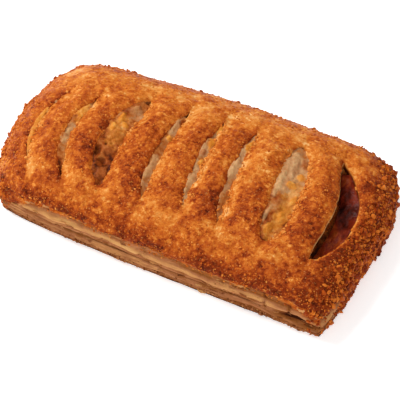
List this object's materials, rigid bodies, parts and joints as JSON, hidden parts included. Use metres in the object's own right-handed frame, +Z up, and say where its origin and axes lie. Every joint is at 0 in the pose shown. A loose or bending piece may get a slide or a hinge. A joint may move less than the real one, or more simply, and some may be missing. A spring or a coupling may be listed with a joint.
{
  "type": "savoury strudel",
  "caption": "Baked puff pastry strudel, an oblong domed parcel with a slit top showing its creamy filling and ham, and layered long sides.",
  "frame": {"origin": "centre of the strudel's bounding box, on the surface it rests on", "axes": "+X along the strudel towards the end with the wide open slit, +Y across it towards the back, +Z up"},
  "size_m": [0.1638, 0.0868, 0.0314],
  "materials": {
    "layered_pastry": "dry, tan to brown, in thin flaky layers",
    "browned_crust": "baked crust, golden to red-brown, rough with fine gratinated crumb, slight sheen",
    "cream_filling": "moist pale cream sauce with bits of cheese and ham",
    "cooked_ham": "dark red, wet and glossy"
  },
  "bodies": {
    "root": {"pastry_base": "layered_pastry", "pastry_lid": "browned_crust", "filling": "cream_filling", "ham_slice": "cooked_ham"}
  },
  "joints": []
}
